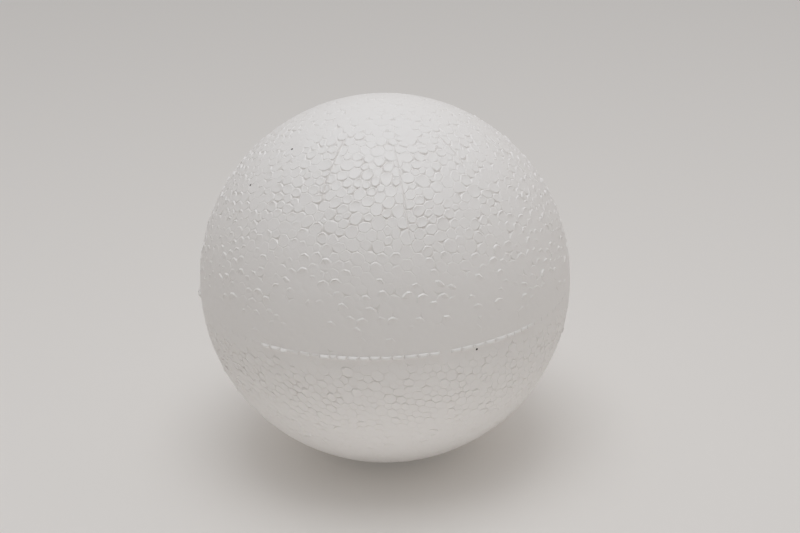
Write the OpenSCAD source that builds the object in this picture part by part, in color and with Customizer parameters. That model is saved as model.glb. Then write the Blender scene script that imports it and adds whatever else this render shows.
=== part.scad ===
// Solid ball of expanded polystyrene foam, moulded in one piece in a two-part mould.
// The origin is the centre of the ball. The mould opens along Z, so the parting line
// lies in the XY plane. Sizes are in millimetres and angles in degrees.

/* [Ball] */
// Diameter of the ball
ball_d = 100; // [60:1:200]
// Typical size of one foam bead at the surface
bead_d = 3.1; // [2:0.1:5]

/* [Flash on the parting line] */
// Thickness of the flash along the mould axis
flash_t = 0.7; // [0.3:0.05:1.2]
// Mean height of the flash above the ball
flash_h = 0.28; // [0.2:0.02:0.6]
// Sideways shift of the flash ring towards -X, which leaves it lower on the +X side
flash_shift = 0.16; // [0:0.02:0.18]
// Gap between the flash of one bead and that of the next
flash_gap = 0.3; // [0.1:0.05:0.8]
// Length of the stretch where the flash has broken away
bare_len = 2.8; // [0:0.2:12]
// Direction of that stretch, counted from +X
bare_dir = -74; // [-180:1:180]

/* [Creases on the upper half] */
// Number of creases round the ball
crease_count = 11; // [4:1:16]
// Direction of the first crease, counted from +X
crease_dir = -81; // [-180:1:180]
// Width of a crease at the surface
crease_w = 0.4; // [0.2:0.05:1.2]
// Depth of a crease
crease_depth = 0.15; // [0.05:0.01:0.4]
// Lowest latitude of a crease
crease_low = 36; // [15:1:45]
// Highest latitude of a crease
crease_high = 66; // [55:1:75]

/* [Hidden] */

// Facets of a full circle in the preview mesh
$fn = 96;

ball_r = ball_d / 2;

// How deep the flash is rooted in the ball
root = 0.5;

// How far the crease cutter stands clear of the ball
clear = 0.1;

// Degrees that one millimetre takes up along the parting line
deg_per_mm = 360 / (PI * ball_d);

// The flash breaks at each bead, and the beads share what the bare stretch leaves
bare_angle = bare_len * deg_per_mm;
flash_beads = round((360 - bare_angle) / (bead_d * deg_per_mm));
flash_step = (360 - bare_angle) / flash_beads;
dash_angle = flash_step - flash_gap * deg_per_mm;
flash_start = bare_dir + (bare_angle + flash_gap * deg_per_mm) / 2;

crease_step = 360 / crease_count;

// Half the cutter's width where it stands clear
cutter_half_w = crease_w / 2 * (crease_depth + clear) / crease_depth;

// Section of the flash: a flat-sided fin with a round crest
module flash_section() {
  crest_x = ball_r + flash_h - flash_t / 2;
  foot_x = ball_r - root - flash_shift;
  union() {
    translate([crest_x, 0]) circle(d = flash_t, $fn = 24);
    translate([foot_x, -flash_t / 2]) square([crest_x - foot_x, flash_t]);
  }
}

// Flash round the parting line, one dash to a bead
module flash() {
  translate([-flash_shift, 0, 0])
    for (i = [0 : flash_beads - 1])
      rotate_extrude(start = flash_start + i * flash_step, angle = dash_angle)
        flash_section();
}

// Cutter for one crease: a V that runs along a meridian, where two of the mould's vent
// segments meet
module crease() {
  rotate([90, 0, 0])
    rotate_extrude(start = crease_low, angle = crease_high - crease_low)
      polygon([
        [ball_r - crease_depth, 0],
        [ball_r + clear, -cutter_half_w],
        [ball_r + clear, cutter_half_w]
      ]);
}

module creases() {
  for (i = [0 : crease_count - 1])
    rotate([0, 0, crease_dir + i * crease_step])
      crease();
}

module ball() {
  color("whitesmoke")
    difference() {
      union() {
        sphere(d = ball_d);
        flash();
      }
      creases();
    }
}

ball();
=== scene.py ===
import math

import bpy
import numpy as np
from bpy.props import FloatProperty, FloatVectorProperty, PointerProperty
from mathutils import Euler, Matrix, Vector, noise


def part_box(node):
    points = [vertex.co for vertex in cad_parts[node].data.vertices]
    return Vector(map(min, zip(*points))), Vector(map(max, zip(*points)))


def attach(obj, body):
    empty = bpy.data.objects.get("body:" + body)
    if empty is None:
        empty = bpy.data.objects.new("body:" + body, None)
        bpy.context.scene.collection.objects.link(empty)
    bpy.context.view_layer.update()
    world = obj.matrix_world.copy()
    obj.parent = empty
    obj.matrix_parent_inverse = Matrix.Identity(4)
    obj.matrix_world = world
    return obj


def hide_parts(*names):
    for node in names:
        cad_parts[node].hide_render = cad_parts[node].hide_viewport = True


bl_info = {
    "name": "Polystyrene Ball",
    "version": (1, 0, 0),
    "blender": (4, 5, 0),
    "location": "3D View > Sidebar > Foam Ball",
    "description": "Models a moulded ball of fused polystyrene beads and sets it on a plain stage",
    "category": "Mesh",
}

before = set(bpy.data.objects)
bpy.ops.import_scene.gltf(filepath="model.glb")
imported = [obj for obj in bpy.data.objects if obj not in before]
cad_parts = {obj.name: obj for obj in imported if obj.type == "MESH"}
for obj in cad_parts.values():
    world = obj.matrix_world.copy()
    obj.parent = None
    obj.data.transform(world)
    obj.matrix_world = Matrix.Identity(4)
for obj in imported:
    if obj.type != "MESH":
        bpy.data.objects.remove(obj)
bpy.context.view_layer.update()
BODY = "root"
NODE = "ball"
FOAM = "fused_foam"

MM = 0.001
TURN = 2 * math.pi
GOLDEN_ANGLE = math.pi * (3 - math.sqrt(5))
SEED = 11
# edges between faces that meet at more than this angle are left crisp
CRISP_ANGLE = math.radians(13)

# the spiral of beads: steps that it is worked out in, and the heights, as shares of the radius,
# between which it gets denser
SPIRAL_STEPS = 4001
DENSER = (-0.02, -0.15)
# how often the network is evened out, and how far each time
EVENING_ROUNDS = 3
EVENING = 0.5
# share of the beads that are small ones, how many size spreads they are smaller by, and what makes
# up for the averaging when beads push on the corners that they share
SMALL_BEADS = 0.08
SMALL_BY = 3
PUSH_GAIN = 1.6

# zones of the ball, each from where it starts to where it is full, in degrees of latitude
CAP = (12, 44)
CAP_TOP = (60, 74)
UPPER = (3, 14)
BELT = (1.5, 8)
ABOVE_BELT = (12, 30)
UNDER = (-1, -6)
FOOT = (-12, -34)
# on the flanks a raised edge is wider the higher its bead lies, up to this latitude
WIDEST_EDGE_AT = 60
# zones across the ball, as shares of the radius: both flanks, the lower half's, and the +X side
FLANKS = (0.45, 0.75)
LOWER_FLANKS = (0.2, 0.6)
RIGHT_SIDE = (0.1, 0.5)
# the loosest patch: latitude and direction of its middle in degrees, and the cosines of the angles
# from there at which it starts and is full
LOOSEST_MIDDLE = (50, -78)
LOOSEST = (0.8, 0.97)
# width of the blotches in which beads are looser or tighter, and the gain on a noise's values
BLOTCH_WIDTH = 12 * MM
NOISE_GAIN = 1.6

# share of the upper zone from which bead corners are cut and bead tops get a lip
CUT_FROM = 0.3
# how much a line's strength, a seam side's width, a lip's height and a hollow's depth vary, as
# ranges of shares
LINE_RANGE = (0.1, 1.5)
SIDE_RANGE = (0.8, 1.2)
LIP_RANGE = (0.2, 1.8)
HOLLOW_RANGE = (-1, 2)
# how much of the seams' darker colour, partly dust and partly painted shade, a fine line has, at
# full strength
LINE_TONE = 0.5
# pits that gape by more than this get a point of their own at the bottom
DEEP_PIT = 0.25
# tops that stand less unevenly than this get no lip
LEAST_UNEVEN = 0.08
# the lip's height where the beads don't gape, and at its inner side, as shares
LIP_CLOSED = 0.5
LIP_INSIDE = 0.3
# the largest step of a ring towards its bead's middle, as a share of the way
LARGEST_STEP = 0.4
# a loose bead's upper edge: range of its rise, of the power that keeps the rise to the edge, and
# how far its direction strays sideways
PROUD_RANGE = (0.3, 1)
EDGE_BEND_RANGE = (2.5, 8)
EDGE_STRAY = 0.45

# number of creases round the upper half, evenly spaced
CREASES = 11
# lowest and highest latitude, and share of the depth, of some creases, by place after the first
SHORT_CREASES = {0: (32, 63, 0.8), 1: (50, 66, 1.2), 9: (50, 64, 0.3), 10: (43, 66, 1.5)}
# share of the depth of the other creases
OTHER_CREASES = 0.7
# how far below, above and beside a crease, bead tops are cut for it, in degrees and in metres
CREASE_BELOW, CREASE_ABOVE = 4, 2
CREASE_BESIDE = 1.5 * MM
# degrees over which a crease runs out, and the share of the relief that it presses flat
CREASE_RUNOUT = 3
CREASE_FLATTENS = 0.7
# distances from a crease at which its wobble starts and is full, and the steps in its noise from
# crease to crease and from degree to degree
WOBBLE_REACH = (1.2 * MM, 0.3 * MM)
WOBBLE_PLACES = 7
WOBBLE_ALONG = 0.25

# the flash's outer points from its lower side to its upper one: level and height, as shares
FLASH_PROFILE = (
    (-0.6, 0),
    (-0.45, 0.97),
    (-0.2, 1),
    (0.05, 0.94),
    (0.3, 0.76),
    (0.5, 0.46),
    (0.7, 0),
)
# points round the flash's section, rings along a dash, and how deep it is rooted in the ball
FIN_SIDES = 12
FIN_RINGS = 8
FIN_ROOT = 0.5 * MM
# mean length of a dash and its spread, in bead sizes
DASH_LENGTH = (1.03, 0.17)
# how much the gaps, heights and thicknesses of the dashes vary, as ranges of shares
GAP_RANGE = (0.3, 2.1)
HEIGHT_RANGE = (1.15, 1.75)
THICKNESS_RANGE = (0.85, 1.1)
# share of the height that a dash has at its end and one ring further in
DASH_END = 0.15
DASH_SHOULDER = 0.8
# direction in degrees from +X, half length and share of the height left, where the flash is worn
WORN_STRETCHES = ((-150, 21.5, 0), (-114, 4.5, 0.35), (-23, 19, 0), (70, 12, 0.1))
# where a worn stretch ends and the flash is whole again, as shares of its half length
WORN_EDGE = (0.94, 1.1)

# latitude and direction from +X in degrees, and half width, of the dark specks of dust
SPECKS = ((57.8, -146, 0.3 * MM), (42.5, -153.6, 0.27 * MM), (-1.1, -64.5, 0.28 * MM))

# side of the floor, and width of the camera's sensor in millimetres
FLOOR_SIZE = 8
SENSOR_WIDTH = 36
# height of the card's lit face above the floor
CARD_LIFT = 1.5 * MM
# starting width of an inset, distance at which a cut meets a vertex, and slack when a radius is
# compared
INSET_START = 0.01 * MM
CUT_TOLERANCE = 0.001 * MM
RADIUS_SLACK = 0.01 * MM

NODE_LOW, NODE_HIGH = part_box(NODE)
BALL_RADIUS = (NODE_HIGH.z - NODE_LOW.z) / 2
# the flash stands out furthest on the -X side and least on the +X side
FLASH_HEIGHT = (NODE_HIGH.x - NODE_LOW.x) / 2 - BALL_RADIUS
FLASH_SHIFT = -(NODE_HIGH.x + NODE_LOW.x) / 2


def length(name, description, default_mm):
    """A length property, given in millimetres and kept in metres."""
    return FloatProperty(
        name=name, description=description, default=default_mm * MM, unit="LENGTH", precision=5
    )


def share(name, description, default):
    """A property that is a share of something, from 0 to 1."""
    return FloatProperty(
        name=name, description=description, default=default, min=0, max=1, subtype="FACTOR"
    )


def angle(name, description, default_deg):
    """An angle property, given in degrees and kept in radians."""
    return FloatProperty(
        name=name, description=description, default=math.radians(default_deg), subtype="ANGLE"
    )


def colour(name, description, default):
    """A colour property, linear red, green and blue."""
    return FloatVectorProperty(
        name=name, description=description, default=default, min=0, max=1, size=3, subtype="COLOR"
    )


class FoamBallSizes(bpy.types.PropertyGroup):
    """Sizes of the beads and of the marks that the mould leaves on them"""

    radius: length("Ball radius", "From the centre to the bead tops", BALL_RADIUS / MM)
    bead_size: length("Bead size", "Typical width of one bead at the surface", 2.76)
    lower_fineness: share("Lower fineness", "How many more beads the lower half shows", 0.38)
    scatter: share("Scatter", "How far a bead strays from an even pattern, in bead sizes", 0.18)
    size_spread: share("Size spread", "How much one bead's width differs from the next", 0.06)
    corner_cut: share("Corner cut", "Share of an edge that each bead corner's cut takes", 0.16)
    pit_spread: share("Pit spread", "How much wider the widest pit between three beads is", 0.7)
    line_depth: length("Line depth", "Depth of the fine lines between fused beads", 0.17)
    line_slope: length("Line slope", "Width of one side of such a line", 0.12)
    seam_depth: length("Seam depth", "Extra depth where beads gape", 0.2)
    seam_slope: length("Seam slope", "Width of a seam's side where beads gape", 0.42)
    pit_depth: length("Pit depth", "Extra depth of the pits where three beads meet", 0.1)
    lip_rise: length("Lip rise", "Height of the lip round a bead's top", 0.06)
    lip_width: length("Lip width", "Width of that lip", 0.3)
    hollow: length("Hollow", "Depth of the hollow, or height of the dome, in a bead's top", 0.03)
    lift: length("Lift", "How far a bead's top may stand off the mould surface", 0.045)
    tilt: angle("Tilt", "How far a bead's top may lean", 2.2)
    proud_rise: length("Proud rise", "How far a loose bead's upper edge stands out", 0.3)
    proud_slope: length("Proud slope", "Width of the side of such an edge", 0.34)
    crease_direction: angle("Crease direction", "Direction of the first crease from +X", -81.5)
    crease_width: length("Crease width", "Width of a crease at the surface", 0.5)
    crease_depth: length("Crease depth", "Depth of a crease", 0.24)
    crease_low: FloatProperty(name="Crease low", description="Its lowest latitude", default=36)
    crease_high: FloatProperty(name="Crease high", description="Its highest latitude", default=66)
    crease_lip: length("Crease lip", "Height of the lips along a crease", 0.05)
    crease_wobble: length("Crease wobble", "How far a crease strays sideways", 0.13)
    flash_thickness: length("Flash thickness", "Thickness of the flash at half its height", 0.72)
    flash_gap: length("Flash gap", "Gap between the flash of one bead and the next", 0.1)
    flash_height: length("Flash height", "Mean height of the flash", FLASH_HEIGHT / MM)
    flash_shift: length("Flash shift", "How much higher it is on the -X side", FLASH_SHIFT / MM)
    flash_front: length("Flash front", "How much higher it is on the -Y side", 0.12)
    bare_length: length("Bare length", "Length of the stretch without flash", 2.8)
    bare_direction: angle("Bare direction", "Direction of that stretch from +X", -74)


class FoamBallColours(bpy.types.PropertyGroup):
    """Colours of the foam"""

    foam: colour("Foam", "Colour of the bead tops", (0.975, 0.96, 0.945))
    # the recess colour darkens the seams, pits and creases: partly dust and partly painted shade
    recess_shade: colour("Recess", "Colour in the seams between beads", (0.925, 0.905, 0.885))
    speck: colour("Speck", "Colour of the dust specks", (0.02, 0.018, 0.015))


class FoamBallStudio(bpy.types.PropertyGroup):
    """Camera, lamps and floor"""

    distance: length("Camera distance", "From the ball's centre", 381.9)
    elevation: angle("Camera elevation", "Above the parting line's plane", 22.8)
    roll: angle("Camera roll", "Turn of the picture about the line of sight", -2.4)
    pan: angle("Camera pan", "Turn of the view to the right of the ball's centre", 0.6)
    pitch: angle("Camera pitch", "Turn of the view above the ball's centre", 0.45)
    lens: FloatProperty(name="Lens", description="Focal length", default=63.0, unit="CAMERA")
    floor: colour("Floor", "Colour of the floor", (0.89, 0.865, 0.835))
    haze: colour("Haze", "Pale colour that veils the floor and its shadow", (0.59, 0.565, 0.535))
    haze_share: share("Haze share", "How much of the veil is seen over the floor", 0.25)
    lamp_power: FloatProperty(name="Lamp power", description="Overhead lamp", default=1.71)
    lamp_width: length("Lamp width", "Side of the square overhead lamp", 450)
    lamp_height: length("Lamp height", "Overhead lamp above the ball's centre", 750)
    lamp_forward: length("Lamp forward", "Overhead lamp's shift towards the camera", 135)
    card_power: FloatProperty(
        name="Card power", description="White card in front", default=0.0042, precision=4
    )
    card_width: length("Card width", "Longer side of the card that lights the underside", 120)
    card_depth: length("Card depth", "Shorter side of that card", 40)
    card_forward: length("Card forward", "That card's shift towards the camera", 75)
    bright_side: angle("Bright side", "Turn of the room's brighter side from +Y to +X", 22)
    dim: colour("Dim", "Colour of the room's light from its dimmer side", (0.115, 0.09, 0.06))
    bright: colour(
        "Bright", "Colour of the room's light from its brighter side", (0.44, 0.40, 0.365)
    )
    zenith: colour("Zenith", "Colour of the room's light from above", (0.85, 0.91, 1.0))


# ---------------------------------------------------------------- mesh helpers


def select_none():
    """Deselects every object, so that an operator acts on the new piece alone."""
    for other in bpy.context.selected_objects:
        other.select_set(False)


def points_of(piece):
    """The piece's vertices, a row for each."""
    flat = np.empty(len(piece.data.vertices) * 3, np.float32)
    piece.data.vertices.foreach_get("co", flat)
    return flat.reshape(-1, 3).astype(float)


def move_points(piece, points):
    """Moves the piece's vertices to the given rows."""
    piece.data.vertices.foreach_set("co", points.astype(np.float32).ravel())
    piece.data.update()


def mark_of(piece, name):
    """The values of a mark, which is a number kept on every vertex."""
    values = np.empty(len(piece.data.vertices), np.float32)
    piece.data.attributes[name].data.foreach_get("value", values)
    return values.astype(float)


def set_mark(piece, name, values):
    """Gives every vertex its value of a mark."""
    if name not in piece.data.attributes:
        piece.data.attributes.new(name, "FLOAT", "POINT")
    piece.data.attributes[name].data.foreach_set("value", values.astype(np.float32))


def on_sphere(points, radius):
    """The points moved in or out to the radius."""
    return points * (radius / np.linalg.norm(points, axis=1))[:, None]


def latitude_of(points):
    """Degrees above the parting line's plane."""
    return np.degrees(np.arcsin(np.clip(on_sphere(points, 1)[:, 2], -1, 1)))


def corner_counts(piece):
    """Number of corners of each face."""
    counts = np.empty(len(piece.data.polygons), np.int32)
    piece.data.polygons.foreach_get("loop_total", counts)
    return counts


def corners_of(piece, faces):
    """Vertex numbers of the faces' corners, and the place in faces that each belongs to."""
    counts = corner_counts(piece)
    starts = np.cumsum(counts) - counts
    loops = np.empty(int(counts.sum()), np.int32)
    piece.data.loops.foreach_get("vertex_index", loops)
    owner = np.repeat(np.arange(len(faces)), counts[faces])
    before = np.cumsum(counts[faces]) - counts[faces]
    along = np.arange(len(owner)) - before[owner]
    return loops[starts[faces][owner] + along], owner


def mean_by(owner, values, count):
    """Mean of the rows of values that share an owner."""
    sums = np.zeros((count, values.shape[1]))
    np.add.at(sums, owner, values)
    return sums / np.bincount(owner, minlength=count)[:, None]


def edit_all(*steps):
    """Runs the steps in edit mode on the whole active mesh."""
    bpy.ops.object.mode_set(mode="EDIT")
    bpy.ops.mesh.select_mode(type="VERT")
    bpy.ops.mesh.select_all(action="SELECT")
    for step in steps:
        step()
    bpy.ops.object.mode_set(mode="OBJECT")


def edit_faces(piece, faces, *steps):
    """Runs the steps in edit mode on the given faces."""
    chosen = np.zeros(len(piece.data.polygons), bool)
    chosen[faces] = True
    bpy.ops.object.mode_set(mode="EDIT")
    bpy.ops.mesh.select_mode(type="FACE")
    bpy.ops.mesh.select_all(action="DESELECT")
    bpy.ops.object.mode_set(mode="OBJECT")
    piece.data.polygons.foreach_set("select", chosen)
    bpy.ops.object.mode_set(mode="EDIT")
    for step in steps:
        step()
    bpy.ops.object.mode_set(mode="OBJECT")


def edit_points(piece, chosen, *steps):
    """Runs the steps in edit mode on the vertices that are chosen."""
    edit_all(lambda: bpy.ops.mesh.select_all(action="DESELECT"))
    piece.data.vertices.foreach_set("select", chosen)
    bpy.ops.object.mode_set(mode="EDIT")
    for step in steps:
        step()
    bpy.ops.object.mode_set(mode="OBJECT")


def wrap():
    """Wraps the selected points in their convex hull."""
    bpy.ops.mesh.convex_hull(
        delete_unused=True, use_existing_faces=False, make_holes=False, join_triangles=False
    )


def inset():
    """Starts a ring inside each selected face, which code then moves to its place."""
    bpy.ops.mesh.inset(thickness=INSET_START, use_individual=True)


def make_dual(piece):
    """Turns each vertex of the piece into a face, and each face into a vertex."""
    group = bpy.data.node_groups.new("dual", "GeometryNodeTree")
    for way in ("INPUT", "OUTPUT"):
        group.interface.new_socket(name="Mesh", in_out=way, socket_type="NodeSocketGeometry")
    entry = group.nodes.new("NodeGroupInput")
    dual = group.nodes.new("GeometryNodeDualMesh")
    out = group.nodes.new("NodeGroupOutput")
    group.links.new(entry.outputs[0], dual.inputs[0])
    group.links.new(dual.outputs[0], out.inputs[0])
    modifier = piece.modifiers.new("dual", "NODES")
    modifier.node_group = group
    bpy.ops.object.modifier_apply(modifier=modifier.name)


def smooth_step(low, high, x):
    """From 0 at low to 1 at high, smoothly."""
    t = np.clip((x - low) / (high - low), 0, 1)
    return t * t * (3 - 2 * t)


def mix(low, high, factor):
    """From low at 0 to high at 1."""
    return low + (high - low) * factor


# ---------------------------------------------------------------- the ball


def spiral(spacing_area, radius, lower_fineness):
    """Evenly spaced points on a sphere, wound from the top pole to the denser lower half."""
    grid = np.linspace(1, -1, SPIRAL_STEPS)
    density = 1 + lower_fineness * smooth_step(*DENSER, grid)
    strip_area = TURN * radius**2 * (grid[0] - grid[1])
    total = np.cumsum(density) * strip_area / spacing_area
    step = np.arange(round(total[-1])) + 0.5
    height = np.interp(step, total, grid)
    ring = np.sqrt(1 - height**2)
    turn = step * GOLDEN_ANGLE
    return radius * np.column_stack([ring * np.cos(turn), ring * np.sin(turn), height])


def add_bead_network(sizes, rng):
    """A closed mesh on the mould's sphere, with one many-sided face to a bead."""
    bead_area = math.sqrt(3) / 2 * sizes.bead_size**2
    seeds = spiral(bead_area, sizes.radius, sizes.lower_fineness)
    select_none()
    bpy.ops.mesh.primitive_circle_add(vertices=len(seeds), radius=sizes.radius)
    ball = bpy.context.object
    ball.name = "foam_ball"
    seeds += rng.normal(size=seeds.shape) * sizes.scatter * sizes.bead_size
    move_points(ball, on_sphere(seeds, sizes.radius))
    edit_all(wrap)
    for _ in range(EVENING_ROUNDS):
        edit_all(lambda: bpy.ops.mesh.vertices_smooth(factor=EVENING))
        move_points(ball, on_sphere(points_of(ball), sizes.radius))
        edit_all(wrap)
    make_dual(ball)
    return ball


def vary_bead_sizes(ball, sizes, rng):
    """Swells some beads and shrinks others by moving the corners that they share."""
    points = points_of(ball)
    beads = np.arange(len(ball.data.polygons))
    corners, owner = corners_of(ball, beads)
    centres = mean_by(owner, points[corners], len(beads))
    swell = rng.normal(0, sizes.size_spread, len(beads))
    swell[rng.random(len(beads)) < SMALL_BEADS] -= SMALL_BY * sizes.size_spread
    push = swell[owner, None] * (points[corners] - centres[owner])
    points += mean_by(corners, push, len(points)) * PUSH_GAIN
    move_points(ball, on_sphere(points, sizes.radius))


def unit_towards(latitude, direction):
    """The unit vector at a latitude and a direction from +X, both in degrees."""
    lat, turn = math.radians(latitude), math.radians(direction)
    return (math.cos(lat) * math.cos(turn), math.cos(lat) * math.sin(turn), math.sin(lat))


def patches(points, scale):
    """Smooth blotches from about -1 to 1, as wide as the scale."""
    return np.array([noise.noise(Vector(point / scale)) for point in points]) * NOISE_GAIN


class Fusion:
    """How the beads have fused at each point: loosest high on the front, closed by the line.

    gaping is how often and how far seams gape, line how strong the fine lines are, proud the share
    of the beads with a raised upper edge, and uneven how much bead tops differ, each from 0 to 1.
    """

    # what the cap loses at its top, on the +X side and, for gaping, on the flanks, and what the
    # loosest patch adds
    TOP_LOSS = 0.5
    RIGHT_LOSS = 0.25
    FLANK_LOSS = 0.6
    LOOSEST_GAIN = 0.75
    # the lower half's strength in the middle, what its flanks add, and what it loses at the foot
    UNDER_MIDDLE = 0.5
    UNDER_FLANKS = 0.33
    FOOT_LOSS = 0.6
    # how much the blotches change the seams and lines, and the raised edges
    BLOTCH_SEAMS = 0.4
    BLOTCH_EDGES = 0.25
    # gaping everywhere, and what the belt, the cap and the lower half add
    GAPING = 0.02
    BELT_GAPING = 0.02
    CAP_GAPING = 0.27
    UNDER_GAPING = 0.15
    # line strength everywhere, and what the cap adds
    LINE = 0.04
    CAP_LINE = 0.26
    # share of raised edges on the belt, what the flanks and the lower half add, and what is lost
    # above the belt
    PROUD = 0.48
    FLANK_PROUD = 0.3
    UNDER_PROUD = 0.3
    PROUD_LOSS = 0.07
    # unevenness that the lower half and the upper flanks add to the gaping
    UNDER_UNEVEN = 0.35
    FLANK_UNEVEN = 0.2

    def __init__(self, points):
        latitude = latitude_of(points)
        blotch = patches(points, BLOTCH_WIDTH)
        across = points[:, 0] / BALL_RADIUS
        flank = smooth_step(*FLANKS, np.abs(across))
        middle = np.array(unit_towards(*LOOSEST_MIDDLE))
        loosest = smooth_step(*LOOSEST, on_sphere(points, 1) @ middle)
        cap = smooth_step(*CAP, latitude) * (1 - self.TOP_LOSS * smooth_step(*CAP_TOP, latitude))
        right = smooth_step(*RIGHT_SIDE, across)
        cap *= (1 + self.LOOSEST_GAIN * loosest) * (1 - self.RIGHT_LOSS * right)
        belt = smooth_step(*BELT, latitude)
        under = smooth_step(*UNDER, latitude) * (1 - self.FOOT_LOSS * smooth_step(*FOOT, latitude))
        lower_flank = smooth_step(*LOWER_FLANKS, np.abs(across))
        under *= self.UNDER_MIDDLE + self.UNDER_FLANKS * lower_flank

        changed = 1 + self.BLOTCH_SEAMS * blotch
        loose = self.CAP_GAPING * cap * changed * (1 - self.FLANK_LOSS * flank)
        loose = self.GAPING + self.BELT_GAPING * belt + loose
        self.gaping = np.clip(loose + self.UNDER_GAPING * under, self.GAPING, 1)
        self.line = np.clip(self.LINE + self.CAP_LINE * cap + under * changed, 0, 1)
        arcs = (self.PROUD + self.FLANK_PROUD * flank) * belt
        arcs = arcs - self.PROUD_LOSS * smooth_step(*ABOVE_BELT, latitude)
        arcs = arcs + self.UNDER_PROUD * under
        self.proud = arcs * (1 + self.BLOTCH_EDGES * blotch)
        extra = self.UNDER_UNEVEN * under
        self.uneven = np.clip(self.gaping + extra + self.FLANK_UNEVEN * flank * belt, 0, 1)
        self.upper = smooth_step(*UPPER, latitude)
        widest = 1 / np.cos(np.radians(np.minimum(latitude, WIDEST_EDGE_AT)))
        self.edge_gain = mix(1, widest, flank)


class BeadTops:
    """Where each bead's top is, how far it stands off the mould's sphere and how it leans."""

    def __init__(self, ball, sizes, rng):
        points = points_of(ball)
        corners, owner = corners_of(ball, bead_faces(ball))
        self.count = owner.max() + 1
        self.radius = sizes.radius
        self.centres = on_sphere(mean_by(owner, points[corners], self.count), sizes.radius)
        self.fusion = Fusion(self.centres)
        is_proud = rng.random(self.count) < self.fusion.proud
        self.proud = is_proud * rng.uniform(*PROUD_RANGE, self.count)
        uneven = self.fusion.uneven
        self.lift = rng.normal(0, sizes.lift, self.count) * uneven
        self.lean = rng.normal(0, math.tan(sizes.tilt), (self.count, 3)) * uneven[:, None]
        self.edge_rise = self.proud * sizes.proud_rise
        self.edge_bend = rng.uniform(*EDGE_BEND_RANGE, self.count)
        sideways = np.cross((0, 0, 1), on_sphere(self.centres, 1))
        sideways = sideways * rng.normal(0, EDGE_STRAY, (self.count, 1))
        self.edge_way = on_sphere(sideways + (0, 0, 1), 1)
        self.edge_reach = sizes.bead_size / 2 - sizes.proud_slope

    def rise(self, points, bead):
        """How far the points on the given beads stand off the mould's sphere."""
        off = points - self.centres[bead]
        way = (self.edge_way[bead] * off).sum(axis=1) * self.fusion.edge_gain[bead]
        upper_edge = np.clip(way / self.edge_reach, 0, 1) ** self.edge_bend[bead]
        lean = (self.lean[bead] * off).sum(axis=1)
        return self.lift[bead] + lean + self.edge_rise[bead] * upper_edge


def bead_faces(ball):
    """Faces that are bead tops: seam sides have four corners and pits have three."""
    return np.flatnonzero(corner_counts(ball) > 4)


def change_mark(ball, name, where, values):
    """Changes a mark on some vertices."""
    marks = mark_of(ball, name)
    marks[where] = values
    set_mark(ball, name, marks)


def open_joints(ball, sizes, rng):
    """Cuts the bead corners off on the upper half, and opens pits where three beads meet."""
    edit_points(
        ball,
        Fusion(points_of(ball)).upper > CUT_FROM,
        lambda: bpy.ops.mesh.bevel(
            offset_type="PERCENT",
            offset_pct=sizes.corner_cut * 100,
            segments=1,
            affect="VERTICES",
            clamp_overlap=False,
        ),
    )
    points = points_of(ball)
    pits = np.flatnonzero(corner_counts(ball) == 3)
    corners, owner = corners_of(ball, pits)
    # a cut joint's three corners share its values, and an uncut joint is one vertex
    joint = np.arange(len(points)) + len(pits)
    joint[corners] = owner
    middles = np.vstack([mean_by(owner, points[corners], len(pits)), points])
    fusion = Fusion(middles)
    gape = rng.random(len(middles)) ** (1 / fusion.gaping)
    stretch = 1 + sizes.pit_spread * gape[joint]
    points = middles[joint] + (points - middles[joint]) * stretch[:, None]
    move_points(ball, on_sphere(points, sizes.radius))
    gape = gape[joint]
    line = (fusion.line * rng.uniform(*LINE_RANGE, len(middles)))[joint]
    set_mark(ball, "gape", gape)
    # the seam mark blends in the darker recess colour, partly dust and partly painted shade, most
    # where beads gape
    set_mark(ball, "seam", np.clip(LINE_TONE * line + gape, 0, 1))
    set_mark(ball, "depth", sizes.line_depth * line + sizes.seam_depth * gape)
    tops = BeadTops(ball, sizes, rng)

    old = len(points)
    deep = pits[gape[corners[::3]] > DEEP_PIT]
    edit_faces(ball, deep, lambda: bpy.ops.mesh.poke())
    new = np.arange(old, len(ball.data.vertices))
    gape = mark_of(ball, "gape")[new]
    change_mark(ball, "depth", new, mark_of(ball, "depth")[new] + sizes.pit_depth * gape)
    return tops


def shape_ring(ball, tops, chosen, step_of, depth_of):
    """Insets the chosen beads, moves the new ring inwards and sets how deep it lies."""
    edit_faces(ball, bead_faces(ball)[chosen], inset)
    points = points_of(ball)
    corners, owner = corners_of(ball, bead_faces(ball)[chosen])
    bead = chosen[owner]
    off = points[corners] - tops.centres[bead]
    reach = np.linalg.norm(off, axis=1)
    gape = mark_of(ball, "gape")[corners]
    step = np.minimum(step_of(gape, bead), LARGEST_STEP * reach)
    points[corners] = tops.centres[bead] + off * (1 - step / reach)[:, None]
    points = on_sphere(points, tops.radius)
    move_points(ball, points)
    change_mark(ball, "depth", corners, depth_of(gape, bead) - tops.rise(points[corners], bead))
    change_mark(ball, "seam", corners, 0)


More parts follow.
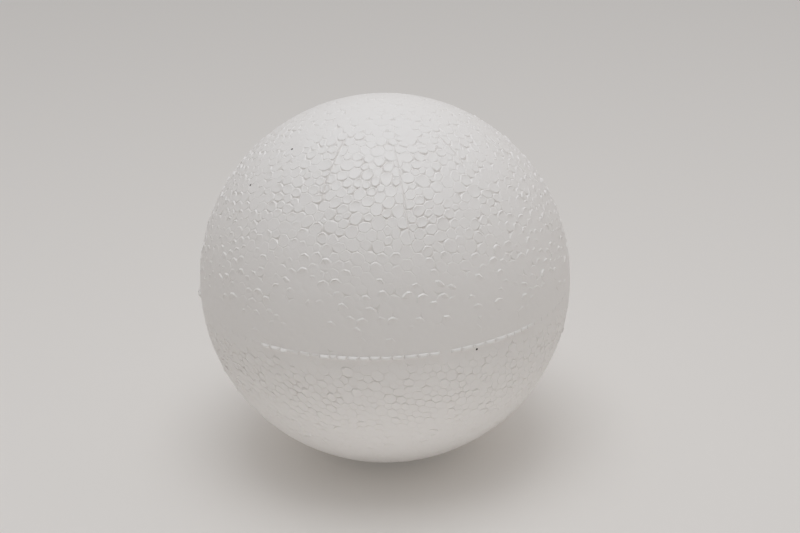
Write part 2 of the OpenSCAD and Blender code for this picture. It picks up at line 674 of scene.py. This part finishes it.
def shape_tops(ball, tops, sizes, rng):
    """Gives every bead a seam's side, a lip inside it and a slightly hollow or domed middle."""
    everyone = np.arange(tops.count)
    vary = rng.uniform(*SIDE_RANGE, tops.count)

    def side_width(gape, bead):
        width = mix(sizes.line_slope, sizes.seam_slope, gape) * vary[bead]
        return np.where(tops.proud[bead] > 0, sizes.proud_slope, width)

    lip = sizes.lip_rise * rng.uniform(*LIP_RANGE, tops.count) * tops.fusion.uneven
    lipped = (tops.fusion.upper > CUT_FROM) & (tops.fusion.uneven > LEAST_UNEVEN)
    shape_ring(
        ball, tops, everyone, side_width, lambda gape, bead: -lip[bead] * (LIP_CLOSED + gape)
    )
    shape_ring(
        ball,
        tops,
        np.flatnonzero(lipped),
        lambda gape, bead: np.full(len(bead), sizes.lip_width),
        lambda gape, bead: LIP_INSIDE * lip[bead],
    )
    old = len(ball.data.vertices)
    edit_faces(ball, bead_faces(ball), lambda: bpy.ops.mesh.poke())
    points = on_sphere(points_of(ball), sizes.radius)
    move_points(ball, points)
    new = np.arange(old, len(points))
    bead = np.array([(tops.centres @ point).argmax() for point in points[new]])
    hollow = sizes.hollow * rng.uniform(*HOLLOW_RANGE, len(new)) * tops.fusion.uneven[bead]
    change_mark(ball, "depth", new, hollow - tops.rise(points[new], bead))
    change_mark(ball, "seam", new, 0)


def cut_creases(ball, sizes):
    """Cuts the bead tops along both edges and the middle of each crease."""

    def cut(across, offset):
        bpy.ops.mesh.select_all(action="SELECT")
        bpy.ops.mesh.bisect(plane_co=across * offset, plane_no=across, threshold=CUT_TOLERANCE)

    for place in range(CREASES):
        direction = sizes.crease_direction + place * TURN / CREASES
        along = Vector((math.cos(direction), math.sin(direction), 0))
        across = Vector((-math.sin(direction), math.cos(direction), 0))
        faces = np.arange(len(ball.data.polygons))
        corners, owner = corners_of(ball, faces)
        middles = mean_by(owner, points_of(ball)[corners], len(faces))
        latitude = latitude_of(middles)
        near = latitude > sizes.crease_low - CREASE_BELOW
        near &= latitude < sizes.crease_high + CREASE_ABOVE
        near &= middles @ np.array(along) > 0
        near &= np.abs(middles @ np.array(across)) < CREASE_BESIDE
        edit_faces(
            ball,
            faces[near],
            lambda: bpy.ops.mesh.hide(unselected=True),
            lambda: cut(across, -sizes.crease_width / 2),
            lambda: cut(across, 0),
            lambda: cut(across, sizes.crease_width / 2),
            lambda: bpy.ops.mesh.reveal(select=False),
        )


def press_creases(ball, sizes):
    """Presses in the creases that the edges of the mould's vent segments leave."""
    points = points_of(ball)
    latitude = latitude_of(points)
    flat = np.hypot(points[:, 0], points[:, 1])
    direction = np.arctan2(points[:, 1], points[:, 0])
    step = TURN / CREASES
    number = np.round((direction - sizes.crease_direction) / step)
    low = np.full(len(points), sizes.crease_low)
    high = np.full(len(points), sizes.crease_high)
    strength = np.full(len(points), OTHER_CREASES)
    for place, (bottom, top, kept) in SHORT_CREASES.items():
        here = number % CREASES == place
        low[here], high[here], strength[here] = bottom, top, kept
    aside = (direction - sizes.crease_direction - number * step) * flat
    along = smooth_step(low, low + CREASE_RUNOUT, latitude)
    along = along * smooth_step(high, high - CREASE_RUNOUT, latitude)
    half_widths = np.abs(aside) / (sizes.crease_width / 2)
    press = along * np.clip(1 - half_widths, 0, 1)
    lip = along * np.clip(1 - np.abs(half_widths - 1) * 2, 0, 1)
    pressed = strength * (sizes.crease_depth * press - sizes.crease_lip * lip)
    set_mark(ball, "depth", mark_of(ball, "depth") * (1 - CREASE_FLATTENS * press) + pressed)
    # a crease takes the darker recess colour too: partly dust and partly painted shade in the
    # crease
    set_mark(ball, "seam", np.maximum(mark_of(ball, "seam"), press))
    near = along * smooth_step(*WOBBLE_REACH, np.abs(aside))
    stray = np.array([
        noise.noise(Vector((WOBBLE_PLACES * place, WOBBLE_ALONG * height, 0)))
        for place, height in zip(number, latitude)
    ])
    direction += sizes.crease_wobble * stray * near / np.maximum(flat, MM)
    points[:, 0] = flat * np.cos(direction)
    points[:, 1] = flat * np.sin(direction)
    move_points(ball, points)


def around(directions, centre):
    """Signed angle from the centre direction, from minus half a turn to half a turn."""
    return (directions - centre + math.pi) % TURN - math.pi


def add_flash(sizes, rng):
    """The thin fin that foam leaves along the parting line, one dash to a bead."""
    lengths = []
    while sum(lengths) < TURN * sizes.radius - sizes.bare_length:
        lengths.append(sizes.bead_size * rng.normal(*DASH_LENGTH))
    lengths = np.array(lengths) * (TURN * sizes.radius - sizes.bare_length) / sum(lengths)
    first = sizes.bare_direction + sizes.bare_length / 2 / sizes.radius
    starts = first + (np.cumsum(lengths) - lengths) / sizes.radius
    gaps = sizes.flash_gap * rng.uniform(*GAP_RANGE, len(lengths))
    spans = (lengths - gaps) / sizes.radius

    select_none()
    bpy.ops.mesh.primitive_circle_add(
        vertices=FIN_SIDES,
        radius=sizes.flash_thickness,
        location=(sizes.radius, 0, 0),
        rotation=(math.pi / 2, 0, 0),
    )
    bpy.ops.object.transform_apply(location=True, rotation=True, scale=True)
    fin = bpy.context.object
    fin.name = "parting_line_flash"
    set_mark(fin, "seam", np.zeros(FIN_SIDES))
    steps = FIN_RINGS * len(lengths)
    edit_all(
        lambda: bpy.ops.mesh.spin(
            steps=steps, angle=TURN, center=(0, 0, 0), axis=(0, 0, 1), use_auto_merge=True
        )
    )
    points = points_of(fin)
    direction = np.arctan2(points[:, 1], points[:, 0]) % TURN
    ring = np.round(direction / TURN * steps).astype(int) % steps
    dash = ring // FIN_RINGS
    along = ring % FIN_RINGS / (FIN_RINGS - 1)
    turn = starts[dash] + spans[dash] * along
    rings_in = np.round(np.minimum(along, 1 - along) * (FIN_RINGS - 1))
    taper = np.where(rings_in == 0, DASH_END, np.where(rings_in == 1, DASH_SHOULDER, 1))
    height = sizes.flash_height - sizes.flash_shift * np.cos(turn)
    height = height - sizes.flash_front * np.sin(turn)
    for centre, reach, left in WORN_STRETCHES:
        off = np.abs(around(turn, math.radians(centre)))
        whole = smooth_step(*WORN_EDGE, off / math.radians(reach))
        height = height * mix(left, 1, whole)
    height = height * (taper * rng.uniform(*HEIGHT_RANGE, len(lengths))[dash])
    outer = np.hypot(points[:, 0], points[:, 1]) > sizes.radius - RADIUS_SLACK
    side = np.arcsin(np.clip(points[:, 2] / sizes.flash_thickness, -1, 1)) * FIN_SIDES / TURN
    side = np.round(side).astype(int) + len(FLASH_PROFILE) // 2
    share_level, share_height = np.array(FLASH_PROFILE)[side].T
    out = np.where(outer, share_height * height, -FIN_ROOT)
    vary = rng.uniform(*THICKNESS_RANGE, len(lengths))[dash]
    level = share_level * sizes.flash_thickness * vary
    points = np.column_stack([
        (sizes.radius + out) * np.cos(turn),
        (sizes.radius + out) * np.sin(turn),
        level,
    ])
    move_points(fin, points)
    counts = corner_counts(fin)
    corners, owner = corners_of(fin, np.arange(len(counts)))
    dashes = dash[corners].reshape(-1, 4)
    bridging = np.flatnonzero(dashes.max(axis=1) != dashes.min(axis=1))
    edit_faces(fin, bridging, lambda: bpy.ops.mesh.delete(type="ONLY_FACE"))
    edit_all(
        lambda: bpy.ops.mesh.delete_loose(use_verts=False, use_edges=True, use_faces=False),
        lambda: bpy.ops.mesh.select_all(action="SELECT"),
        lambda: bpy.ops.mesh.fill_holes(sides=FIN_SIDES),
        lambda: bpy.ops.mesh.select_all(action="SELECT"),
        lambda: bpy.ops.mesh.normals_make_consistent(inside=False),
    )
    return fin


class MESH_OT_foam_ball(bpy.types.Operator):
    """Model the ball's skin of fused beads, with the creases of its upper half"""

    bl_idname = "mesh.foam_ball"
    bl_label = "Foam Ball"

    def execute(self, context):
        sizes = context.scene.foam_ball_sizes
        rng = np.random.default_rng(SEED)
        ball = add_bead_network(sizes, rng)
        vary_bead_sizes(ball, sizes, rng)
        tops = open_joints(ball, sizes, rng)
        shape_tops(ball, tops, sizes, rng)
        cut_creases(ball, sizes)
        press_creases(ball, sizes)
        points = points_of(ball)
        depth = mark_of(ball, "depth")
        move_points(ball, points * (1 - depth / np.linalg.norm(points, axis=1))[:, None])
        bpy.ops.object.shade_smooth_by_angle(angle=CRISP_ANGLE)
        ball.data.materials.append(foam_finish(context.scene.foam_ball_colours))
        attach(ball, BODY)
        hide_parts(NODE)
        return {"FINISHED"}


class MESH_OT_foam_flash(bpy.types.Operator):
    """Model the flash along the parting line"""

    bl_idname = "mesh.foam_flash"
    bl_label = "Parting Line Flash"

    def execute(self, context):
        sizes = context.scene.foam_ball_sizes
        fin = add_flash(sizes, np.random.default_rng(SEED + 1))
        bpy.ops.object.shade_smooth()
        fin.data.materials.append(bpy.data.materials[FOAM])
        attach(fin, BODY)
        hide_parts(NODE)
        return {"FINISHED"}


# ---------------------------------------------------------------- finishes


class Wire:
    """A shader socket that adds Math nodes when it is used in an expression."""

    def __init__(self, finish, socket):
        self.finish = finish
        self.socket = socket

    def math(self, operation, first, second):
        return self.finish.node("ShaderNodeMath", {"operation": operation}, {0: first, 1: second})

    def __add__(self, other):
        return self.math("ADD", self, other)

    def __radd__(self, other):
        return self.math("ADD", other, self)

    def __mul__(self, other):
        return self.math("MULTIPLY", self, other)

    def __rmul__(self, other):
        return self.math("MULTIPLY", other, self)

    def __lt__(self, other):
        return self.math("LESS_THAN", self, other)


class Finish:
    """A node material, or the room's light, while it is built."""

    def __init__(self, name, holder=None):
        self.material = holder or bpy.data.materials.new(name)
        self.material.use_nodes = True
        self.tree = self.material.node_tree
        self.tree.nodes.clear()

    def node(self, kind, settings=None, sockets=None, output=0):
        """Adds a node, sets it, feeds its sockets and gives back one of its outputs."""
        made = self.tree.nodes.new(kind)
        for name, value in (settings or {}).items():
            setattr(made, name, value)
        for name, value in (sockets or {}).items():
            if isinstance(value, Wire):
                self.tree.links.new(value.socket, made.inputs[name])
            else:
                made.inputs[name].default_value = value
        return Wire(self, made.outputs[output])

    def blend(self, factor, first, second):
        """Mixes two colours, each a value or a link."""
        return self.node(
            "ShaderNodeMix", {"data_type": "RGBA"}, {0: factor, 6: first, 7: second}, output=2
        )

    def surface(self, shader, output="ShaderNodeOutputMaterial"):
        """Ends the tree with its output node."""
        out = self.tree.nodes.new(output)
        self.tree.links.new(shader.socket, out.inputs["Surface"])


def rgba(colour_value):
    """A colour with full alpha, as colour sockets take it."""
    return (*colour_value, 1.0)


def foam_finish(colours):
    """Foam with seams coloured darker, partly as dust and partly as painted shade, dust specks,
    and a fine grain of cells in its gloss and bump.
    """
    finish = Finish(FOAM)
    place = finish.node("ShaderNodeTexCoord", output="Object")
    # the seam mark blends the foam towards the recess colour: partly dust and partly painted shade
    seam = finish.node("ShaderNodeAttribute", {"attribute_name": "seam"}, output="Fac")
    tone = finish.blend(seam, rgba(colours.foam), rgba(colours.recess_shade))
    way = finish.node("ShaderNodeVectorMath", {"operation": "NORMALIZE"}, {0: place})
    for latitude, direction, reach in SPECKS:
        spot = unit_towards(latitude, direction)
        off = finish.node(
            "ShaderNodeVectorMath", {"operation": "DISTANCE"}, {0: way, 1: spot}, output="Value"
        )
        tone = finish.blend(off < reach / BALL_RADIUS, tone, rgba(colours.speck))
    grain = finish.node("ShaderNodeTexNoise", {}, {"Vector": place, "Scale": 900.0, "Detail": 3.0})
    cells = finish.node(
        "ShaderNodeTexVoronoi", {"feature": "SMOOTH_F1"}, {"Vector": place, "Scale": 3500.0}
    )
    bump = finish.node(
        "ShaderNodeBump", {}, {"Strength": 0.5, "Distance": 0.03 * MM, "Height": cells + grain}
    )
    shader = finish.node(
        "ShaderNodeBsdfPrincipled",
        {},
        {"Base Color": tone, "Roughness": 0.36 + 0.2 * grain, "Normal": bump},
    )
    finish.surface(shader)
    return finish.material


def floor_finish(studio):
    """A pale matt floor, with a veil over it that lights nothing and is only seen."""
    finish = Finish("floor")
    paper = finish.node(
        "ShaderNodeBsdfPrincipled",
        {},
        {"Base Color": rgba(studio.floor), "Roughness": 0.9, "Specular IOR Level": 0.1},
    )
    haze = finish.node("ShaderNodeEmission", {}, {"Color": rgba(studio.haze)})
    seen = finish.node("ShaderNodeLightPath", output="Is Camera Ray")
    seen = seen + finish.node("ShaderNodeLightPath", output="Is Glossy Ray")
    seen = seen + finish.node("ShaderNodeLightPath", output="Is Transmission Ray")
    shader = finish.node(
        "ShaderNodeMixShader", {}, {0: studio.haze_share * seen, 1: paper, 2: haze}
    )
    finish.surface(shader)
    return finish.material


# ---------------------------------------------------------------- the stage


class SCENE_OT_foam_ball_stage(bpy.types.Operator):
    """Set up the floor, the lamps, the room's light and the camera"""

    bl_idname = "scene.foam_ball_stage"
    bl_label = "Stage"

    def execute(self, context):
        studio = context.scene.foam_ball_studio
        select_none()
        bpy.ops.mesh.primitive_plane_add(size=FLOOR_SIZE, location=(0, 0, -BALL_RADIUS))
        bpy.ops.object.transform_apply(location=True, rotation=False, scale=False)
        floor = context.object
        floor.name = "floor"
        floor.data.materials.append(floor_finish(studio))
        self.add_lamp(studio)
        self.add_card(studio)
        self.add_room(context, studio)
        self.add_camera(context, studio)
        context.scene.view_settings.view_transform = "Standard"
        return {"FINISHED"}

    def add_lamp(self, studio):
        place = (0, -studio.lamp_forward, studio.lamp_height)
        bpy.ops.object.light_add(type="AREA", location=place)
        lamp = bpy.context.object
        lamp.name = "overhead_lamp"
        lamp.data.size = studio.lamp_width
        lamp.data.energy = studio.lamp_power
        lamp.rotation_euler = (-math.atan2(studio.lamp_forward, studio.lamp_height), 0, 0)

    def add_card(self, studio):
        place = (0, -studio.card_forward, CARD_LIFT - BALL_RADIUS)
        bpy.ops.object.light_add(type="AREA", location=place, rotation=(math.pi, 0, 0))
        card = bpy.context.object
        card.name = "floor_card"
        card.data.shape = "RECTANGLE"
        card.data.size = studio.card_width
        card.data.size_y = studio.card_depth
        card.data.energy = studio.card_power
        card.visible_camera = False

    def add_room(self, context, studio):
        world = bpy.data.worlds.new("room")
        context.scene.world = world
        room = Finish("room", world)
        way = room.node("ShaderNodeTexCoord", output="Generated")
        aim = (math.sin(studio.bright_side), math.cos(studio.bright_side), 0)
        facing = room.node(
            "ShaderNodeVectorMath", {"operation": "DOT_PRODUCT"}, {0: way, 1: aim}, output="Value"
        )
        height = room.node("ShaderNodeSeparateXYZ", {}, {0: way}, output="Z")
        overhead = height * height * height * height
        walls = room.blend(0.5 + 0.5 * facing, rgba(studio.dim), rgba(studio.bright))
        light = room.blend(overhead, walls, rgba(studio.zenith))
        background = room.node("ShaderNodeBackground", {}, {"Color": light})
        room.surface(background, "ShaderNodeOutputWorld")

    def add_camera(self, context, studio):
        back = Vector((0, -math.cos(studio.elevation), math.sin(studio.elevation)))
        bpy.ops.object.camera_add(location=back * studio.distance)
        camera = bpy.context.object
        camera.name = "camera"
        camera.data.lens = studio.lens
        camera.data.sensor_width = SENSOR_WIDTH
        aim = (-back).to_track_quat("-Z", "Y")
        turn = Euler((studio.pitch, -studio.pan, studio.roll)).to_quaternion()
        camera.rotation_mode = "QUATERNION"
        camera.rotation_quaternion = aim @ turn
        context.scene.camera = camera


class VIEW3D_PT_foam_ball(bpy.types.Panel):
    """Lists the foam ball's operators, and the settings that they read"""

    bl_label = "Foam Ball"
    bl_space_type = "VIEW_3D"
    bl_region_type = "UI"
    bl_category = "Foam Ball"

    def draw(self, context):
        for operator in OPERATORS:
            self.layout.operator(operator.bl_idname)
        for name, group in GROUPS.items():
            box = self.layout.box()
            box.label(text=group.__doc__)
            for setting in group.__annotations__:
                box.prop(getattr(context.scene, name), setting)


OPERATORS = (MESH_OT_foam_ball, MESH_OT_foam_flash, SCENE_OT_foam_ball_stage)
GROUPS = {
    "foam_ball_sizes": FoamBallSizes,
    "foam_ball_colours": FoamBallColours,
    "foam_ball_studio": FoamBallStudio,
}


def register():
    for kind in (*GROUPS.values(), *OPERATORS, VIEW3D_PT_foam_ball):
        bpy.utils.register_class(kind)
    for name, group in GROUPS.items():
        setattr(bpy.types.Scene, name, PointerProperty(type=group))


def unregister():
    for name in GROUPS:
        delattr(bpy.types.Scene, name)
    for kind in (VIEW3D_PT_foam_ball, *OPERATORS, *GROUPS.values()):
        bpy.utils.unregister_class(kind)


def main():
    register()
    bpy.ops.mesh.foam_ball()
    bpy.ops.mesh.foam_flash()
    bpy.ops.scene.foam_ball_stage()


if __name__ == "__main__":
    main()
